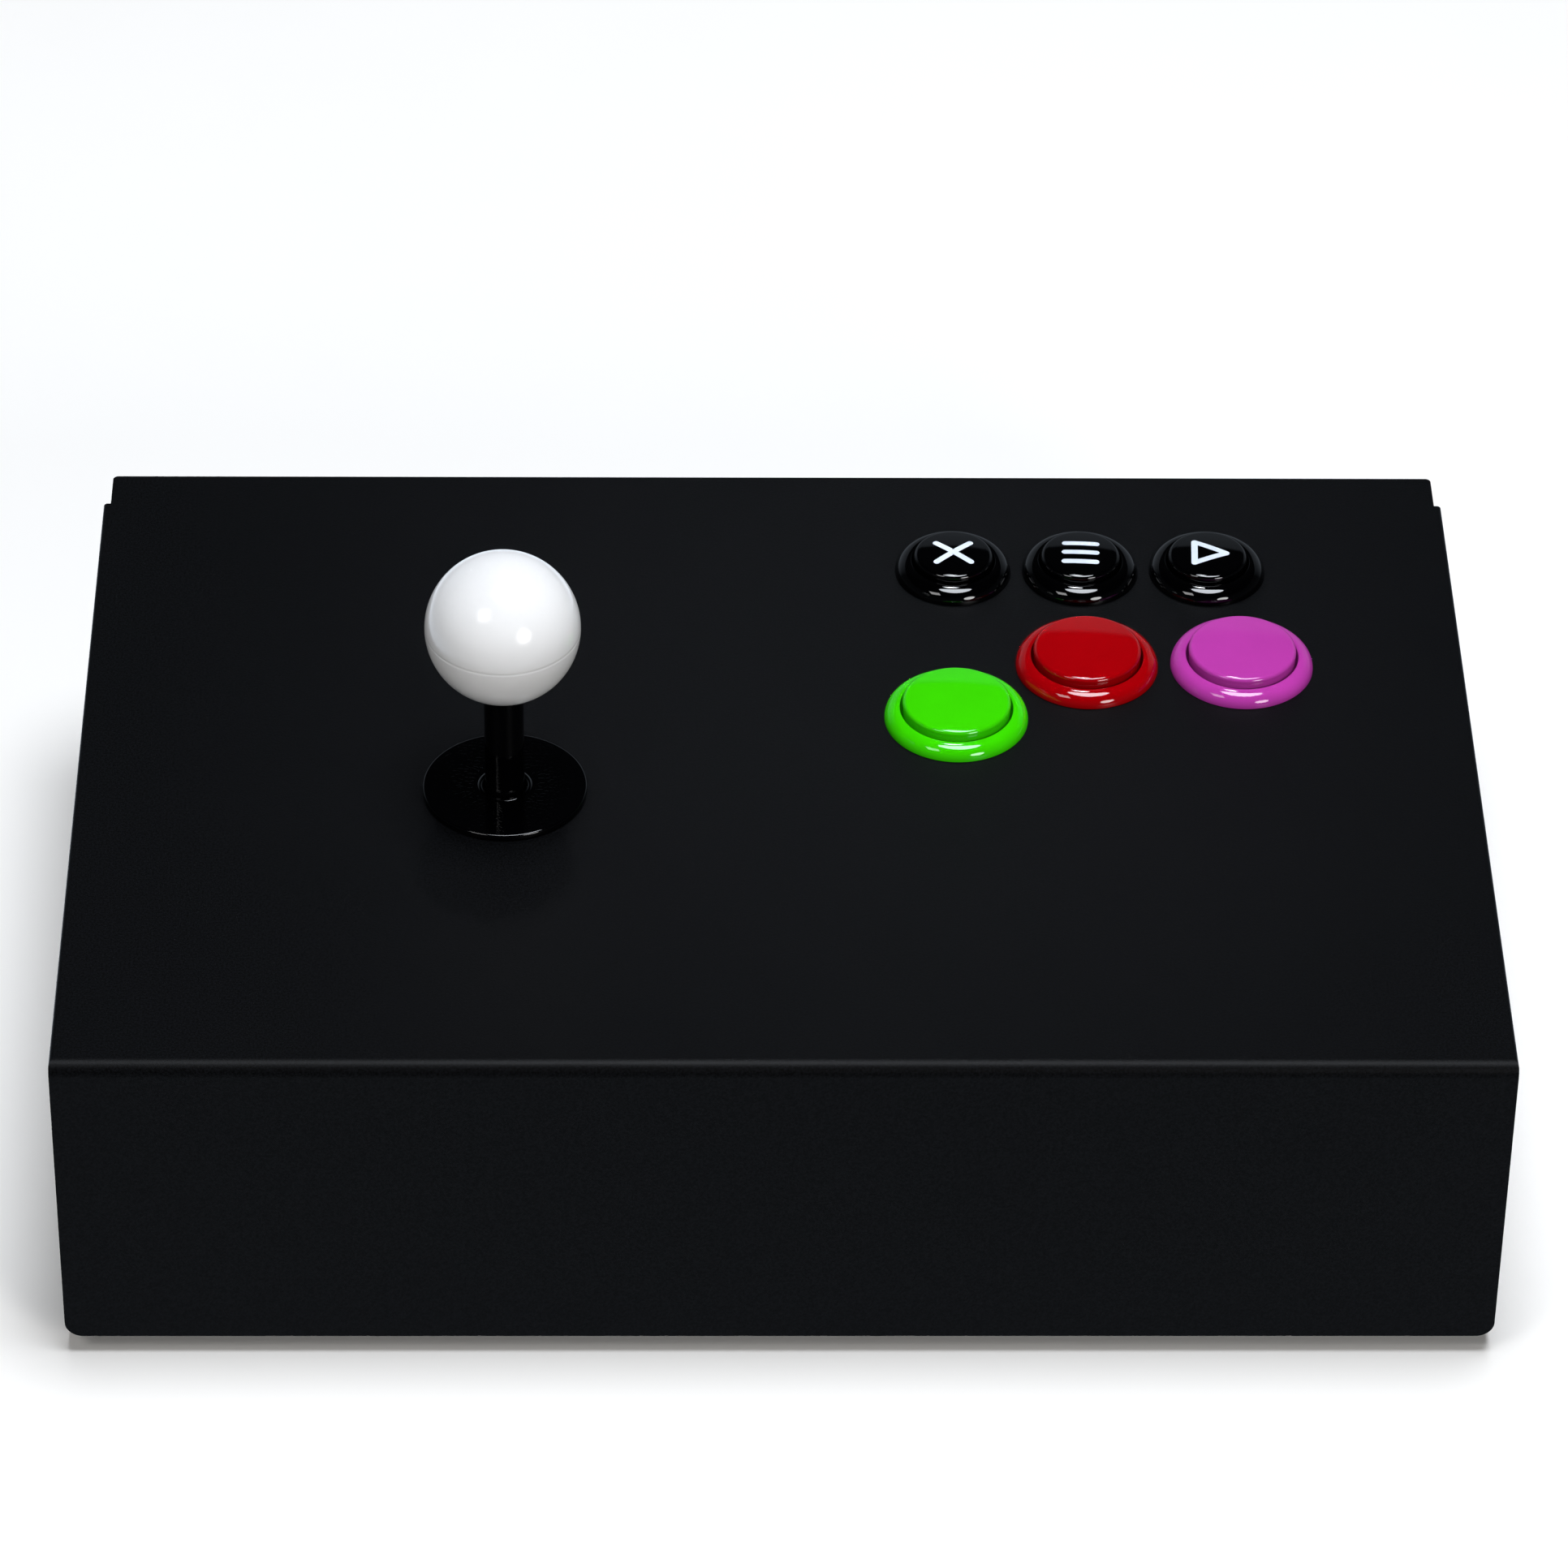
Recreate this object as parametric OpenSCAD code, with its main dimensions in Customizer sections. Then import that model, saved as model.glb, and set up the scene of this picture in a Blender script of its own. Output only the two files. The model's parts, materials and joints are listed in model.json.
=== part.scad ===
// Table-top arcade control deck: a folded steel cover over a steel tray, with a ball-top lever,
// three 30 mm push buttons and three 24 mm function buttons.
// Origin: centre of the footprint on the table. +X right, +Y to the rear, +Z up. Millimetres.

/* [Case] */
// Width of the folded cover
deck_w = 320; // [310:1:340]
// Depth of the cover, front face to rear edge
deck_d = 216.6; // [212:0.1:240]
// Height of the front flap
flap_h = 79.5; // [76:0.5:90]
// Gap between the front flap and the table
flap_gap = 5; // [3:0.5:5]
// Thickness of the cover sheet
sheet_t = 2; // [1.5:0.1:2]
// Outside radius of the cover's bends
bend_r = 3; // [2.5:0.1:5]
// Outer radius of the two side folds
side_fold_r = 1; // [0.8:0.1:2]
// Radius of the flap's lower corners
flap_corner_r = 4; // [2:0.5:6]
// Length by which the top runs past the side flanges at the rear
tongue_l = 11; // [8:0.5:14]
// Step from a side flange in to the rear tongue
tongue_step = 1.7; // [1.2:0.1:1.9]
// Radius of the rear tongue's corners
tongue_r = 1.3; // [1:0.1:3]
// Thickness of the tray sheet
tray_t = 1.5; // [1.2:0.1:1.6]
// Height of the tray's low walls above its floor
tray_wall_h = 26; // [20:1:34]

/* [Feet] */
// Foot height
foot_h = 6; // [6:0.5:7]
// Foot radius at the tray
foot_r = 11; // [9:0.5:13]
// Foot centres, from the middle of the case
foot_pos = [135, 84]; // [70:1:140]

/* [Lever] */
// Lever centre
lever_pos = [-62.4, -12]; // [-70:0.1:0]
// Ball diameter
ball_d = 35; // [30:0.5:40]
// Height of the ball's centre above the panel
ball_h = 46.5; // [42:0.5:50]
// Depth of the pivot below the panel's top
pivot_depth = 18; // [18:0.5:18.5]
// Outside diameter of the shaft cover
cover_tube_d = 9; // [8.5:0.1:9]
// Diameter of the lever shaft
shaft_d = 6; // [5:0.1:6]
// Diameter of the dust washer
washer_d = 37.4; // [36:0.1:40]
// Thickness of the dust washer
washer_t = 1.3; // [1:0.1:1.5]

/* [Buttons] */
// Green button centre
green_pos = [41.1, 14.8]; // [10:0.1:45]
// Red button centre
red_pos = [72.1, 34.6]; // [30:0.1:75]
// Magenta button centre
magenta_pos = [108.2, 34.7]; // [30:0.1:110]
// Left function button centre
cross_pos = [42.1, 71]; // [40:0.1:72]
// Distance between function buttons
function_pitch = 30.05; // [30:0.05:34]
// Travel of every button
travel = 2.5; // [2:0.1:2.6]
// Panel hole, rim radius, rim height, bore radius, plunger radius, plunger height of a 30 mm button
large_sizes = [15, 16.65, 3.3, 13.05, 12.5, 5.2]; // [3:0.05:17]
// The same sizes of a 24 mm button
small_sizes = [12, 13.75, 3.5, 9.8, 9.3, 5.8]; // [3:0.05:14]

/* [Socket] */
// Centre of the data socket in the rear wall, across and up
socket_pos = [0, 45]; // [0:1:50]

/* [Hidden] */
$fn = 64;

// Case
top_z = flap_gap + flap_h;
front_y = -deck_d / 2;
rear_y = deck_d / 2;
half_w = deck_w / 2;
flange_end_y = rear_y - tongue_l;
tongue_half_w = half_w - tongue_step;
flange_front_y = front_y + sheet_t;
inner_fold_r = 0.3;
seam_gap = 0.5;
seam_relief_r = 1.2;
nest_gap = 0.4;
tray_half_w = half_w - sheet_t - nest_gap;
tray_front_y = front_y + sheet_t + nest_gap;
tray_rear_y = rear_y - 1;
tray_z = foot_h;
floor_z = tray_z + tray_t;
tray_top_z = top_z - sheet_t - 0.3;
tray_bend_r = 2.5;
tray_shoulder_y = 64;
tray_post_y = 82;
lip_w = 10;

// Fasteners
foot_screw_r = 2;
foot_head_r = 4;
foot_recess = 3;
side_screw_r = 1.5;
side_head_r = 3;
side_head_h = 1.5;
side_screw_l = 9;
side_screw_ys = [-72, 56];
side_screw_z = floor_z + 14;
rivet_r = 2.5;
rivet_bulge_r = 3.6;
rivet_l = 8;

// Lever, heights measured from the panel's top
ball_r = ball_d / 2;
shaft_r = shaft_d / 2;
tube_r = cover_tube_d / 2;
lever_hole_r = 11;
plate_size = [95, 53];
plate_t = 1.6;
plate_corner_r = 5;
plate_z = -sheet_t - plate_t;
stud_grid = [42, 20];
stud_r = 2;
stud_l = 10;
nut_h = 3.2;
nut_r = 4.04;
housing_half = [31, 30];
housing_wall = 2.5;
housing_roof = 3;
housing_low_z = -40;
post_grid = [25, 22];
post_r = 4;
plate_screw_r = 1.5;
plate_head_r = 2.8;
plate_head_h = 1.3;
plate_screw_l = 12;
tower_r = 15.5;
tower_bore_r = 12;
seat_r = 9.05;
liner_r = 9;
liner_bore_r = 7.05;
liner_half_h = 4.5;
liner_slit = 0.8;
retainer_h = 5;
tower_low = 5.5;
pivot_r = 7;
pivot_half_h = 6;
shaft_low_z = -49;
ball_flat_z = ball_h - sqrt(ball_r * ball_r - tube_r * tube_r);
ball_bore_l = 13;
spring_r = 9.5;
spring_wire_r = 0.6;
spring_seat_z = -33;
spring_seat_r = 11.5;
spring_seat_t = 2;
spring_hub_r = 6;
spring_hub_h = 2.5;
actuator_r = 6.5;
actuator_l = 13;
clip_t = 0.8;
clip_r = 5.5;
clip_groove_r = 2.4;
board_t = 1.6;
switch_board_hole = 10.9;
switch_board_tail = 8;
gate_t = 3;
gate_hole = 11.3;
gate_screw_r = 1.25;
gate_head_r = 2.6;
gate_head_h = 1.8;
gate_screw_l = 13;
lever_switch_gap = 10.6;
connector_size = [12.5, 6, 6.4];

// Dust washer and the ring it glides on
glide_t = 0.35;
glide_r = 15.4;
glide_bore_r = 8.5;
washer_z = glide_t + 0.05;
washer_edge_r = 1;
washer_lip_r = 0.75;
washer_bore_r = 4.9;

// Buttons
edge_r = 1.5;
crown = 0.45;
barrel_gap = 0.2;
barrel_floor_z = -12.4;
barrel_floor_t = 1.6;
flange_step_z = -3;
flange_room = 0.8;
flange_reach = 0.45;
flange_t = 2.2;
stop_gap = 0.3;
stem_r = 2;
stem_low_z = -10.4;
stem_hole_r = 2.5;
cap_wall = 1.4;
cap_roof = 2;
lug_reach = 1.5;
lug_w = 6;
lug_h = 5;
button_wire_r = 0.35;
switch_size = [12.8, 5.8, 6.5];
switch_nub_h = 0.8;
switch_pin = [0.6, 1.2, 3.5];
cradle_t = 1.2;
menu_pos = cross_pos + [function_pitch, 0];
play_pos = menu_pos + [function_pitch, 0];
button_places = [green_pos, cross_pos, red_pos, menu_pos, play_pos, magenta_pos];
button_top = top_z + barrel_floor_z - barrel_floor_t;

// Electronics
encoder_size = [84, 50];
encoder_pos = [52, 26];
standoff_h = 6;
standoff_r = 3.1;
encoder_z = floor_z + standoff_h;
encoder_top_z = encoder_z + board_t;
encoder_grid = [37, 20];
header_size = [6, 5, 6];
header_pitch = 10;
header_y = encoder_pos[1] + 12;
header_x0 = encoder_pos[0] - 15;
lever_header = [encoder_pos[0] - 33, encoder_pos[1]];
usb_header = [encoder_pos[0] - 27, encoder_pos[1] + 17];
header_top_z = encoder_top_z + header_size[2];
socket_wall_y = tray_rear_y - tray_t;
socket_body = [12, 10, 7];
socket_flange = [30, 2, 11];
socket_nose = [12.5, 6.5];
socket_mouth = [8.94, 3.26];
socket_tongue = [6.7, 0.7];
socket_screw_x = 11;
socket_screw_r = 1.25;
socket_head_r = 2.4;
socket_head_h = 1.15;
lead_r = 1.6;
wire_r = 0.9;

// Shapes used more than once -------------------------------------------------

module at_lever(z = 0) {
    translate([lever_pos[0], lever_pos[1], top_z + z]) children();
}

module at_button(pos) {
    translate([pos[0], pos[1], top_z]) children();
}

module at_grid(grid) {
    for (sx = [-1, 1])
        for (sy = [-1, 1])
            translate([sx * grid[0], sy * grid[1], 0]) children();
}

// A rectangle whose upper corners are rounded; the right one only if both is true
module bent_outline(x0, x1, y0, y1, r, both) {
    right = both ? r : 0;
    translate([x0, y0]) square([x1 - x0, y1 - y0 - r]);
    translate([x0 + r, y0]) square([x1 - x0 - r - right, y1 - y0]);
    translate([x0 + r, y1 - r]) circle(r);
    if (both)
        translate([x1 - r, y1 - r]) circle(r);
}

// A block with bends along the top of its two sides and its front, and of its rear if asked
module bent_block(half, y0, y1, z0, z1, r, side_r, rear) {
    intersection() {
        translate([-half, 0, 0])
            rotate([90, 0, 90])
                linear_extrude(2 * half) bent_outline(y0, y1, z0, z1, r, rear);
        translate([0, y1, 0])
            rotate([90, 0, 0])
                linear_extrude(y1 - y0) bent_outline(-half, half, z0, z1, side_r, true);
    }
}

// What a rounded corner loses: the corner is at the origin and the part lies towards +X +Y
module corner_waste(r) {
    difference() {
        translate([-1, -1]) square(r + 1);
        translate([r, r]) circle(r);
    }
}

module round_rect(size, r) {
    square([size[0] - 2 * r, size[1]], center = true);
    square([size[0], size[1] - 2 * r], center = true);
    for (sx = [-1, 1])
        for (sy = [-1, 1])
            translate([sx * (size[0] / 2 - r), sy * (size[1] / 2 - r)]) circle(r);
}

module slot(size) {
    square([size[0] - size[1], size[1]], center = true);
    for (s = [-1, 1])
        translate([s * (size[0] - size[1]) / 2, 0]) circle(d = size[1]);
}

// A countersunk screw, its head's face at the origin and its shank towards -Z
module flat_screw(head_r, head_h, r, l) {
    translate([0, 0, -head_h]) cylinder(r1 = r, r2 = head_r, h = head_h);
    translate([0, 0, -l]) cylinder(r = r, h = l - head_h);
}

module hex_nut(r, bore, h) {
    difference() {
        cylinder(r = r, h = h, $fn = 6);
        translate([0, 0, -1]) cylinder(r = bore, h = h + 2);
    }
}

function ring_points(p, n, b, r, sides) =
    [for (k = [0 : sides - 1]) p + r * cos(360 * k / sides) * n + r * sin(360 * k / sides) * b];

function tube_faces(rings, sides) = concat(
    [[for (k = [0 : sides - 1]) k]],
    [for (i = [0 : rings - 2])
        for (k = [0 : sides - 1])
            let (j = (k + 1) % sides)
                [i * sides + k, (i + 1) * sides + k, (i + 1) * sides + j, i * sides + j]],
    [[for (k = [sides - 1 : -1 : 0]) (rings - 1) * sides + k]]);

// A coil of round wire between two heights
module coil(radius, wire, z0, z1, turns) {
    sides = 6;
    steps = 14 * turns;
    rise = z1 - z0 - 2 * wire;
    points = [for (i = [0 : steps])
        let (a = 360 * turns * i / steps)
            each ring_points([radius * cos(a), radius * sin(a), z0 + wire + rise * i / steps],
                             [cos(a), sin(a), 0], [0, 0, 1], wire, sides)];
    polyhedron(points, tube_faces(steps + 1, sides));
}

function bezier(a, b, c, d, t) =
    a * pow(1 - t, 3) + 3 * b * t * pow(1 - t, 2) + 3 * c * t * t * (1 - t) + d * pow(t, 3);

function bezier_slope(a, b, c, d, t) =
    3 * pow(1 - t, 2) * (b - a) + 6 * t * (1 - t) * (c - b) + 3 * t * t * (d - c);

// A lead that leaves the upper point downwards and enters the lower one from above
module lead(upper, lower, r, drop, rise) {
    sides = 8;
    steps = 18;
    b = upper - [0, 0, drop];
    c = lower + [0, 0, rise];
    flat = [lower[0] - upper[0], lower[1] - upper[1], 0];
    side = cross(flat / norm(flat), [0, 0, 1]);
    points = [for (i = [0 : steps])
        let (slope = bezier_slope(upper, b, c, lower, i / steps))
        let (along = slope / norm(slope))
            each ring_points(bezier(upper, b, c, lower, i / steps), cross(side, along), side, r,
                             sides)];
    polyhedron(points, tube_faces(steps + 1, sides));
}

// Case ------------------------------------------------------------------------

module top_cover() {
    color("#16181c")
    difference() {
        bent_block(half_w, front_y, rear_y, flap_gap, top_z, bend_r, side_fold_r, false);
        bent_block(half_w - sheet_t, flange_front_y, rear_y + 1, flap_gap - 1, top_z - sheet_t,
                   bend_r - sheet_t, inner_fold_r, false);
        // rear tongue, narrower than the flanges
        for (s = [-1, 1]) {
            translate([s * (tongue_half_w + 5), flange_end_y + 10, top_z - 45])
                cube([10, 20, 100], center = true);
            translate([s * half_w, flange_end_y + 10, top_z - sheet_t - 45])
                cube([2 * sheet_t + 1, 20, 90], center = true);
        }
        for (s = [0, 1])
            mirror([s, 0, 0])
                translate([-tongue_half_w, rear_y, top_z - 10])
                    mirror([0, 1, 0])
                        linear_extrude(20) corner_waste(tongue_r);
        // lower corners of the front flap
        for (s = [0, 1])
            mirror([s, 0, 0])
                translate([-half_w, flange_front_y, flap_gap])
                    rotate([90, 0, 0])
                        linear_extrude(5) corner_waste(flap_corner_r);
        // lower rear corners of the flanges
        translate([-half_w - 1, flange_end_y, flap_gap])
            rotate([90, 0, 90])
                mirror([1, 0, 0])
                    linear_extrude(deck_w + 2) corner_waste(flap_corner_r);
        // seams between the front flap and the flanges
        for (s = [-1, 1])
            translate([s * (half_w + 1), flange_front_y, 0]) {
                translate([-4, 0, 0])
                    cube([8, seam_gap, top_z - bend_r - seam_relief_r]);
                translate([-4, seam_relief_r, top_z - bend_r - seam_relief_r])
                    rotate([0, 90, 0]) cylinder(r = seam_relief_r, h = 8);
            }
        at_lever(-sheet_t - 1) cylinder(r = lever_hole_r, h = sheet_t + 2);
        for (pos = [green_pos, red_pos, magenta_pos])
            at_button(pos)
                translate([0, 0, -sheet_t - 1]) cylinder(r = large_sizes[0], h = sheet_t + 2);
        for (pos = [cross_pos, menu_pos, play_pos])
            at_button(pos)
                translate([0, 0, -sheet_t - 1]) cylinder(r = small_sizes[0], h = sheet_t + 2);
        side_places(half_w) {
            flat_screw(side_head_r, side_head_h, side_screw_r, side_screw_l);
        }
    }
}

// Puts a piece at each side screw, its outer face at the given half width
module side_places(half) {
    for (s = [0, 1])
        for (y = side_screw_ys)
            mirror([s, 0, 0])
                translate([half, y, side_screw_z])
                    rotate([0, 90, 0]) children();
}

module tray_shell() {
    difference() {
        bent_block(tray_half_w, tray_front_y, tray_rear_y, -tray_top_z, -tray_z, tray_bend_r,
                   tray_bend_r, true);
        bent_block(tray_half_w - tray_t, tray_front_y + tray_t, tray_rear_y - tray_t,
                   -tray_top_z - 1, -floor_z, tray_bend_r - tray_t, tray_bend_r - tray_t, true);
    }
}

module base_tray() {
    low_z = floor_z + tray_wall_h;
    shoulder = [[front_y - 1, low_z], [tray_shoulder_y, low_z], [tray_post_y, low_z + 16],
                [tray_post_y, top_z + 1], [front_y - 1, top_z + 1]];
    color("#1b1d20")
    difference() {
        union() {
            mirror([0, 0, 1]) tray_shell();
            translate([-tray_half_w + 8, tray_rear_y - lip_w, tray_top_z - tray_t])
                cube([2 * tray_half_w - 16, lip_w - tray_t / 2, tray_t]);
        }
        translate([-half_w, 0, 0])
            rotate([90, 0, 90])
                linear_extrude(deck_w) polygon(shoulder);
        at_grid(foot_pos)
            translate([0, 0, tray_z - 1]) cylinder(r = foot_screw_r + 0.2, h = tray_t + 2);
        side_places(tray_half_w)
            translate([0, 0, -tray_t - 1]) cylinder(r = rivet_r, h = tray_t + 2);
        translate([socket_pos[0], tray_rear_y + 1, socket_pos[1]])
            rotate([90, 0, 0])
                linear_extrude(tray_t + 2) slot(socket_nose);
        at_socket_screws() flat_screw(socket_head_r, socket_head_h, socket_screw_r, tray_t + 1);
    }
}

module rubber_feet() {
    color("#202020")
    at_grid(foot_pos)
        difference() {
            cylinder(r1 = foot_r - 1, r2 = foot_r, h = foot_h);
            translate([0, 0, -1]) cylinder(r = foot_head_r + 0.5, h = foot_recess + 1);
            cylinder(r = foot_screw_r + 0.1, h = foot_h + 1);
        }
}

module foot_screws() {
    head_z = foot_recess - 1.8;
    color("silver")
    at_grid(foot_pos) {
        translate([0, 0, head_z]) cylinder(r = foot_head_r, h = foot_recess - head_z);
        translate([0, 0, head_z]) cylinder(r = foot_screw_r, h = floor_z + nut_h + 1 - head_z);
    }
}

module foot_nuts() {
    color("silver")
    at_grid(foot_pos)
        translate([0, 0, floor_z]) hex_nut(nut_r, foot_screw_r, nut_h);
}

module cover_screws() {
    color("#101010")
    side_places(half_w) flat_screw(side_head_r, side_head_h, side_screw_r, side_screw_l);
}

module cover_rivet_nuts() {
    color("silver")
    side_places(tray_half_w)
        difference() {
            union() {
                translate([0, 0, -rivet_l]) cylinder(r = rivet_r, h = rivet_l);
                translate([0, 0, -tray_t - 1.5]) cylinder(r = rivet_bulge_r, h = 1.5);
            }
            translate([0, 0, -rivet_l - 1]) cylinder(r = side_screw_r, h = rivet_l + 2);
        }
}

// Lever, fixed pieces ------------------------------------------------------------

module weld_studs() {
    color("#b87333")
    at_lever(-sheet_t - stud_l)
        at_grid(stud_grid) cylinder(r = stud_r, h = stud_l);
}

module stud_nuts() {
    color("silver")
    at_lever(plate_z - nut_h)
        at_grid(stud_grid) hex_nut(nut_r, stud_r, nut_h);
}

module mount_plate() {
    color("#9a9da0")
    at_lever()
        difference() {
            translate([0, 0, plate_z])
                linear_extrude(plate_t) round_rect(plate_size, plate_corner_r);
            translate([0, 0, plate_z - 1]) cylinder(r = tower_bore_r, h = plate_t + 2);
            at_grid(stud_grid)
                translate([0, 0, plate_z - 1]) cylinder(r = stud_r + 0.25, h = plate_t + 2);
            at_grid(post_grid)
                translate([0, 0, -sheet_t])
                    flat_screw(plate_head_r, plate_head_h, plate_screw_r, plate_screw_l);
        }
}

module plate_screws() {
    color("silver")
    at_lever(-sheet_t)
        at_grid(post_grid)
            flat_screw(plate_head_r, plate_head_h, plate_screw_r, plate_screw_l);
}

module lever_housing() {
    box = 2 * housing_half;
    room = [box[0] - 2 * housing_wall, box[1] - 2 * housing_wall];
    color("#1a1a1c")
    at_lever()
        difference() {
            union() {
                difference() {
                    translate([0, 0, housing_low_z])
                        linear_extrude(plate_z - housing_low_z) round_rect(box, 3);
                    translate([0, 0, housing_low_z - 1])
                        linear_extrude(plate_z - housing_roof - housing_low_z + 1)
                            round_rect(room, 1);
                }
                translate([0, 0, -pivot_depth - tower_low])
                    cylinder(r = tower_r, h = pivot_depth + tower_low + plate_z - 1);
                at_grid(post_grid)
                    translate([0, 0, housing_low_z])
                        cylinder(r = post_r, h = plate_z - housing_low_z - 1);
            }
            translate([0, 0, -pivot_depth]) {
                cylinder(r = tower_bore_r, h = pivot_depth);
                sphere(seat_r);
            }
            at_grid(post_grid) {
                translate([0, 0, -sheet_t - plate_screw_l])
                    cylinder(r = plate_screw_r, h = plate_screw_l);
                translate([0, 0, housing_low_z - 1])
                    cylinder(r = gate_screw_r, h = gate_screw_l - gate_t - board_t + 1);
            }
        }
}

module pivot_retainer() {
    color("gainsboro")
    at_lever(-pivot_depth)
        difference() {
            cylinder(r = tower_bore_r, h = retainer_h);
            sphere(seat_r);
        }
}

module switch_board() {
    depth = 2 * housing_half[1] + switch_board_tail;
    color("#1f6b3a")
    at_lever(housing_low_z - board_t)
        difference() {
            translate([0, switch_board_tail / 2, 0])
                linear_extrude(board_t) round_rect([2 * housing_half[0], depth], 2);
            translate([0, 0, board_t / 2])
                cube([2 * switch_board_hole, 2 * switch_board_hole, board_t + 2], center = true);
            at_grid(post_grid) translate([0, 0, -1]) cylinder(r = 1.4, h = board_t + 2);
        }
}

module lever_switches() {
    across = switch_size[0];
    reach = switch_size[2];
    tall = switch_size[1];
    color("#26282b")
    at_lever(housing_low_z)
        for (a = [0 : 90 : 270])
            rotate([0, 0, a])
                translate([lever_switch_gap, 0, 0]) {
                    translate([0, -across / 2, 0]) cube([reach, across, tall]);
                    translate([-0.5, 0, tall / 2])
                        rotate([0, 90, 0]) cylinder(r = 0.9, h = 1);
                }
}

module lever_connector() {
    size = connector_size;
    color("ivory")
    at_lever(housing_low_z - board_t - size[2])
        translate([0, housing_half[1] + switch_board_tail / 2, 0])
            difference() {
                translate([-size[0] / 2, -size[1] / 2, 0]) cube(size);
                for (s = [-1, 1])
                    translate([s * size[0] / 2, 0, 2]) cube([2, 3, 5], center = true);
            }
}

module gate() {
    color("#2a2c30")
    at_lever(housing_low_z - board_t - gate_t)
        difference() {
            linear_extrude(gate_t) round_rect(2 * housing_half, 3);
            translate([0, 0, gate_t / 2])
                cube([2 * gate_hole, 2 * gate_hole, gate_t + 2], center = true);
            at_grid(post_grid) translate([0, 0, -1]) cylinder(r = 1.4, h = gate_t + 2);
        }
}

module gate_screws() {
    color("silver")
    at_lever(housing_low_z - board_t - gate_t)
        at_grid(post_grid) {
            translate([0, 0, -gate_head_h]) cylinder(r = gate_head_r, h = gate_head_h);
            cylinder(r = gate_screw_r, h = gate_screw_l);
        }
}

// Lever, moving pieces -------------------------------------------------------------

module bearing_liner() {
    color("#e8e2c8")
    at_lever(-pivot_depth)
        difference() {
            intersection() {
                sphere(liner_r);
                cube([2 * liner_r + 2, 2 * liner_r + 2, 2 * liner_half_h], center = true);
            }
            sphere(liner_bore_r);
            translate([liner_r, 0, 0]) cube([2 * liner_r, liner_slit, 4 * liner_half_h], center = true);
        }
}

module lever_shaft() {
    groove_z = spring_seat_z - actuator_l - clip_t;
    color("#c8ccd0")
    at_lever()
        difference() {
            translate([0, 0, shaft_low_z])
                cylinder(r = shaft_r, h = ball_flat_z + ball_bore_l - shaft_low_z);
            translate([0, 0, groove_z])
                difference() {
                    cylinder(r = shaft_r + 1, h = clip_t);
                    translate([0, 0, -1]) cylinder(r = clip_groove_r, h = clip_t + 2);
                }
        }
}

module pivot_ball() {
    color("#3a3d42")
    at_lever(-pivot_depth)
        difference() {
            intersection() {
                sphere(pivot_r);
                cube([2 * pivot_r + 2, 2 * pivot_r + 2, 2 * pivot_half_h], center = true);
            }
            translate([0, 0, -pivot_r - 1]) cylinder(r = shaft_r, h = 2 * pivot_r + 2);
        }
}

module shaft_cover() {
    low_z = pivot_half_h - pivot_depth;
    color("#0c0c0e")
    at_lever(low_z)
        difference() {
            cylinder(r = tube_r, h = ball_flat_z - low_z);
            translate([0, 0, -1]) cylinder(r = shaft_r, h = ball_flat_z - low_z + 2);
        }
}

module ball_top() {
    color("white")
    at_lever()
        difference() {
            translate([0, 0, ball_h]) sphere(ball_r, $fn = 128);
            translate([0, 0, ball_flat_z - 10]) cylinder(r = ball_r, h = 10);
            translate([0, 0, ball_flat_z - 1]) cylinder(r = shaft_r, h = ball_bore_l + 1);
        }
}

module lever_spring() {
    color("#b0b4b8")
    at_lever()
        coil(spring_r, spring_wire_r, spring_seat_z + spring_seat_t, -pivot_depth - tower_low, 3.5);
}

module spring_seat() {
    color("#e4e4e0")
    at_lever(spring_seat_z)
        difference() {
            union() {
                cylinder(r = spring_seat_r, h = spring_seat_t);
                cylinder(r = spring_hub_r, h = spring_seat_t + spring_hub_h);
            }
            translate([0, 0, -1]) cylinder(r = shaft_r, h = spring_seat_t + spring_hub_h + 2);
        }
}

module actuator() {
    color("#e4e4e0")
    at_lever(spring_seat_z - actuator_l)
        difference() {
            cylinder(r = actuator_r, h = actuator_l);
            translate([0, 0, -1]) cylinder(r = shaft_r, h = actuator_l + 2);
        }
}

module e_clip() {
    color("#70757a")
    at_lever(spring_seat_z - actuator_l - clip_t)
        difference() {
            cylinder(r = clip_r, h = clip_t);
            translate([0, 0, -1]) cylinder(r = clip_groove_r, h = clip_t + 2);
            translate([0, -1.8, -1]) cube([clip_r + 1, 3.6, clip_t + 2]);
        }
}

module glide_ring() {
    color("#303236")
    at_lever()
        difference() {
            cylinder(r = glide_r, h = glide_t);
            translate([0, 0, -1]) cylinder(r = glide_bore_r, h = glide_t + 2);
        }
}

module dust_washer() {
    outer = washer_d / 2;
    lip_r = washer_bore_r + washer_lip_r;
    color("#0b0b0d")
    at_lever(washer_z)
        rotate_extrude($fn = 128) {
            translate([lip_r, 0]) square([outer - lip_r, washer_t - washer_edge_r]);
            translate([lip_r, 0]) square([outer - washer_edge_r - lip_r, washer_t]);
            intersection() {
                translate([outer - washer_edge_r, washer_t - washer_edge_r]) circle(washer_edge_r);
                square([outer, washer_t]);
            }
            translate([lip_r, washer_t - washer_lip_r + 0.2]) circle(washer_lip_r);
        }
}

// Buttons ----------------------------------------------------------------------------

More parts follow.
